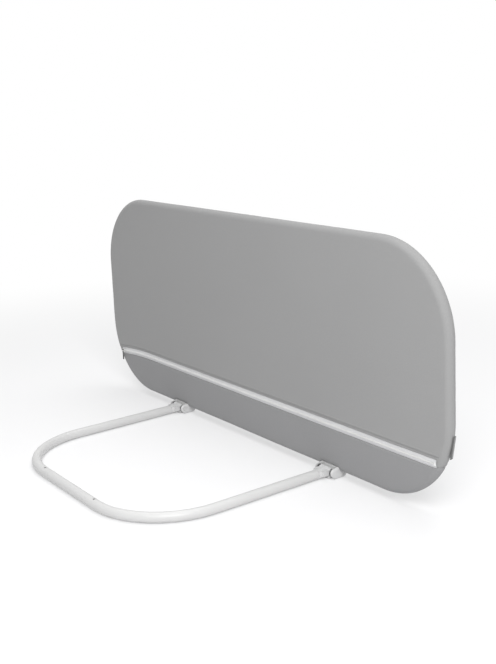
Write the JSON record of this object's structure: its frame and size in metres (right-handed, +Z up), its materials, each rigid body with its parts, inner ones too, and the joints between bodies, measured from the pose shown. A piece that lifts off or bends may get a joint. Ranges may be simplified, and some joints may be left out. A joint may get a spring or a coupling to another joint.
{
  "type": "folding bed guard rail",
  "caption": "Free-standing folding bed guard rail: a fabric-covered tube guard hinged with lock tabs on a U-shaped tube base that slides under a mattress.",
  "frame": {"origin": "on the floor plane, in the middle of the footprint of the opened guard rail", "axes": "+X along the rail to its right-hand end as seen from the bed, +Y away from the bed, from the base to the guard, +Z up"},
  "size_m": [1.1, 0.4354, 0.463],
  "materials": {
    "painted_tube": "satin",
    "light_plastic": "satin",
    "zinc_steel": "satin",
    "dark_steel": "satin",
    "grey_fabric": "matte",
    "lower_fabric": "matte",
    "zip_tape": "matte",
    "zip_plastic": "gloss",
    "dark_trim": "matte"
  },
  "bodies": {
    "base": {"base_front_tube": "painted_tube", "base_leg_left": "painted_tube", "base_leg_right": "painted_tube", "snap_spring_left": "zinc_steel", "snap_spring_right": "zinc_steel", "leg_fitting_left": "light_plastic", "leg_fitting_right": "light_plastic", "fitting_screw_left": "zinc_steel", "fitting_screw_right": "zinc_steel", "lock_spring_left_outer": "zinc_steel", "lock_spring_left_inner": "zinc_steel", "lock_spring_right_inner": "zinc_steel", "lock_spring_right_outer": "zinc_steel"},
    "guard": {"hinge_pin_left": "zinc_steel", "hinge_pin_right": "zinc_steel", "housing_front_left": "light_plastic", "housing_back_left": "light_plastic", "hinge_lug_left": "painted_tube", "housing_front_right": "light_plastic", "housing_back_right": "light_plastic", "hinge_lug_right": "painted_tube", "housing_screw_left_outer": "zinc_steel", "housing_screw_left_inner": "zinc_steel", "housing_screw_right_inner": "zinc_steel", "housing_screw_right_outer": "zinc_steel", "guard_side_left": "painted_tube", "guard_side_right": "painted_tube", "guard_top_tube": "painted_tube", "guard_bottom_tube": "painted_tube", "frame_screw_top_left": "zinc_steel", "frame_screw_top_right": "zinc_steel", "frame_screw_bottom_left": "zinc_steel", "frame_screw_bottom_right": "zinc_steel", "cover_inner": "grey_fabric", "cover_lower": "lower_fabric", "cover_outer": "grey_fabric", "zip_tape_upper": "zip_tape", "zip_tape_lower": "zip_tape", "zip_coil": "zip_plastic", "zip_end_stop": "zinc_steel", "side_tag": "dark_trim"},
    "lock_tab_left_outer": {"lock_tab_left_outer": "light_plastic"},
    "lock_tab_left_inner": {"lock_tab_left_inner": "light_plastic"},
    "lock_tab_right_inner": {"lock_tab_right_inner": "light_plastic"},
    "lock_tab_right_outer": {"lock_tab_right_outer": "light_plastic"},
    "snap_button_left": {"snap_button_left": "dark_steel"},
    "snap_button_right": {"snap_button_right": "dark_steel"},
    "slider": {"zip_slider": "zip_plastic"},
    "pull": {"zip_pull": "dark_trim"}
  },
  "joints": [
    {"name": "guard_fold", "type": "hinge", "parent": "base", "child": "guard", "pos_m": [0, 0.18755, 0.012], "axis": [1, 0, 0], "range_deg": [0, 90]},
    {"name": "lock_press_left_outer", "type": "slide", "parent": "base", "child": "lock_tab_left_outer", "axis": [1, 0, 0], "range_m": [0, 0.002], "stiffness_N_per_m": 500, "springref_m": -0.001, "deforming": ["lock_spring_left_outer"]},
    {"name": "lock_press_left_inner", "type": "slide", "parent": "base", "child": "lock_tab_left_inner", "axis": [-1, 0, 0], "range_m": [0, 0.002], "stiffness_N_per_m": 500, "springref_m": -0.001, "deforming": ["lock_spring_left_inner"]},
    {"name": "lock_press_right_inner", "type": "slide", "parent": "base", "child": "lock_tab_right_inner", "axis": [1, 0, 0], "range_m": [0, 0.002], "stiffness_N_per_m": 500, "springref_m": -0.001, "deforming": ["lock_spring_right_inner"]},
    {"name": "lock_press_right_outer", "type": "slide", "parent": "base", "child": "lock_tab_right_outer", "axis": [-1, 0, 0], "range_m": [0, 0.002], "stiffness_N_per_m": 500, "springref_m": -0.001, "deforming": ["lock_spring_right_outer"]},
    {"name": "snap_press_left", "type": "slide", "parent": "base", "child": "snap_button_left", "axis": [0, 0, -1], "range_m": [0, 0.003], "stiffness_N_per_m": 300, "springref_m": -0.001, "deforming": ["snap_spring_left"]},
    {"name": "snap_press_right", "type": "slide", "parent": "base", "child": "snap_button_right", "axis": [0, 0, -1], "range_m": [0, 0.003], "stiffness_N_per_m": 300, "springref_m": -0.001, "deforming": ["snap_spring_right"]},
    {"name": "zip_slide", "type": "slide", "parent": "guard", "child": "slider", "axis": [1, 0, 0.0073], "range_m": [0, 1.0125]},
    {"name": "zip_pull_swing", "type": "hinge", "parent": "slider", "child": "pull", "pos_m": [-0.503, 0.19175, 0.09114], "axis": [0, 1, 0], "range_deg": [-80, 80]}
  ]
}
